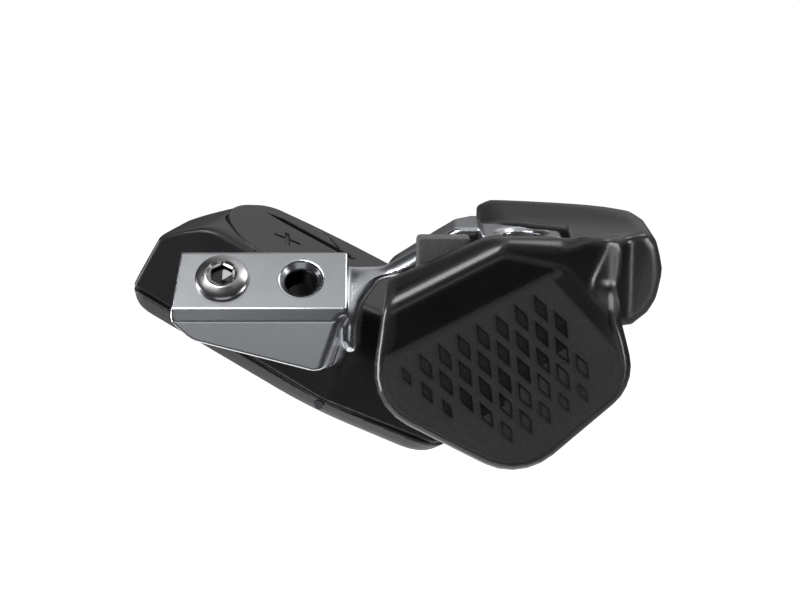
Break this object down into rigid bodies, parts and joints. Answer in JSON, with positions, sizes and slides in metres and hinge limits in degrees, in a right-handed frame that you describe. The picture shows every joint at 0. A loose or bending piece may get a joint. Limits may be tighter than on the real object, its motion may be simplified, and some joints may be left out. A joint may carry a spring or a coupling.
{
  "type": "electronic shift switch",
  "caption": "Handlebar shift switch: aluminium clamp bracket with a gooseneck pivot, faceted battery pod behind it and a dished thumb rocker with a rear finger wing.",
  "frame": {"origin": "centre of the free clamp hole, on the bracket's tilted face", "axes": "+X along the two clamp holes towards the rocker, +Y away from the rider, +Z along the rocker's pivot"},
  "size_m": [0.102, 0.0579, 0.0498],
  "materials": {
    "blasted_aluminium": "bead blasted, bright machined edges",
    "stainless_steel": "turned and tumbled",
    "bearing_bronze": "sintered",
    "satin_black": "satin moulded, fine spark grain on the thumb face",
    "textured_black": "coarse spark grain",
    "pod_black": "fine matte grain",
    "pod_grey": "satin moulded",
    "black_rubber": "moulded silicone",
    "switch_steel": "stamped",
    "board_green": "solder mask",
    "cell_steel": "polished can",
    "contact_nickel": "nickel plate",
    "clear_lens": "clear light pipe"
  },
  "bodies": {
    "base": {"clamp_bracket": "blasted_aluminium", "clamp_bolt": "stainless_steel", "clamp_washer": "stainless_steel", "pivot_bush_upper": "bearing_bronze", "pivot_bush_lower": "bearing_bronze", "switch_carrier": "textured_black", "switch_boot_front": "black_rubber", "switch_boot_rear": "black_rubber", "tact_switch_front": "switch_steel", "tact_switch_rear": "switch_steel", "carrier_screw": "stainless_steel", "pod_upper_housing": "pod_black", "pod_bottom_cover": "pod_grey", "pod_gasket": "black_rubber", "main_circuit_board": "board_green", "coin_cell": "cell_steel", "positive_contact": "contact_nickel", "negative_contact": "contact_nickel", "button_switch": "switch_steel", "led_lens": "clear_lens", "cover_screws": "stainless_steel", "mount_screws": "stainless_steel"},
    "rocker": {"rocker_paddle": "satin_black", "pivot_pin": "stainless_steel", "pivot_clip": "stainless_steel"},
    "battery_door": {"battery_door": "pod_black", "door_seal": "black_rubber"},
    "function_button": {"function_button": "pod_grey"}
  },
  "joints": [
    {"name": "rocker_pivot", "type": "hinge", "parent": "base", "child": "rocker", "pos_m": [0.0411, 0.0054, 0], "axis": [0, 0, 1], "range_deg": [-4, 4], "stiffness_Nm_per_rad": 0.5},
    {"name": "battery_door_turn", "type": "hinge", "parent": "base", "child": "battery_door", "pos_m": [-0.0036, 0.024, 0.0027], "axis": [0.431, -0.1822, 0.8837], "range_deg": [0, 45]},
    {"name": "function_button_press", "type": "slide", "parent": "base", "child": "function_button", "axis": [0.431, -0.1822, 0.8837], "range_m": [0, 0.0005], "stiffness_N_per_m": 600}
  ]
}
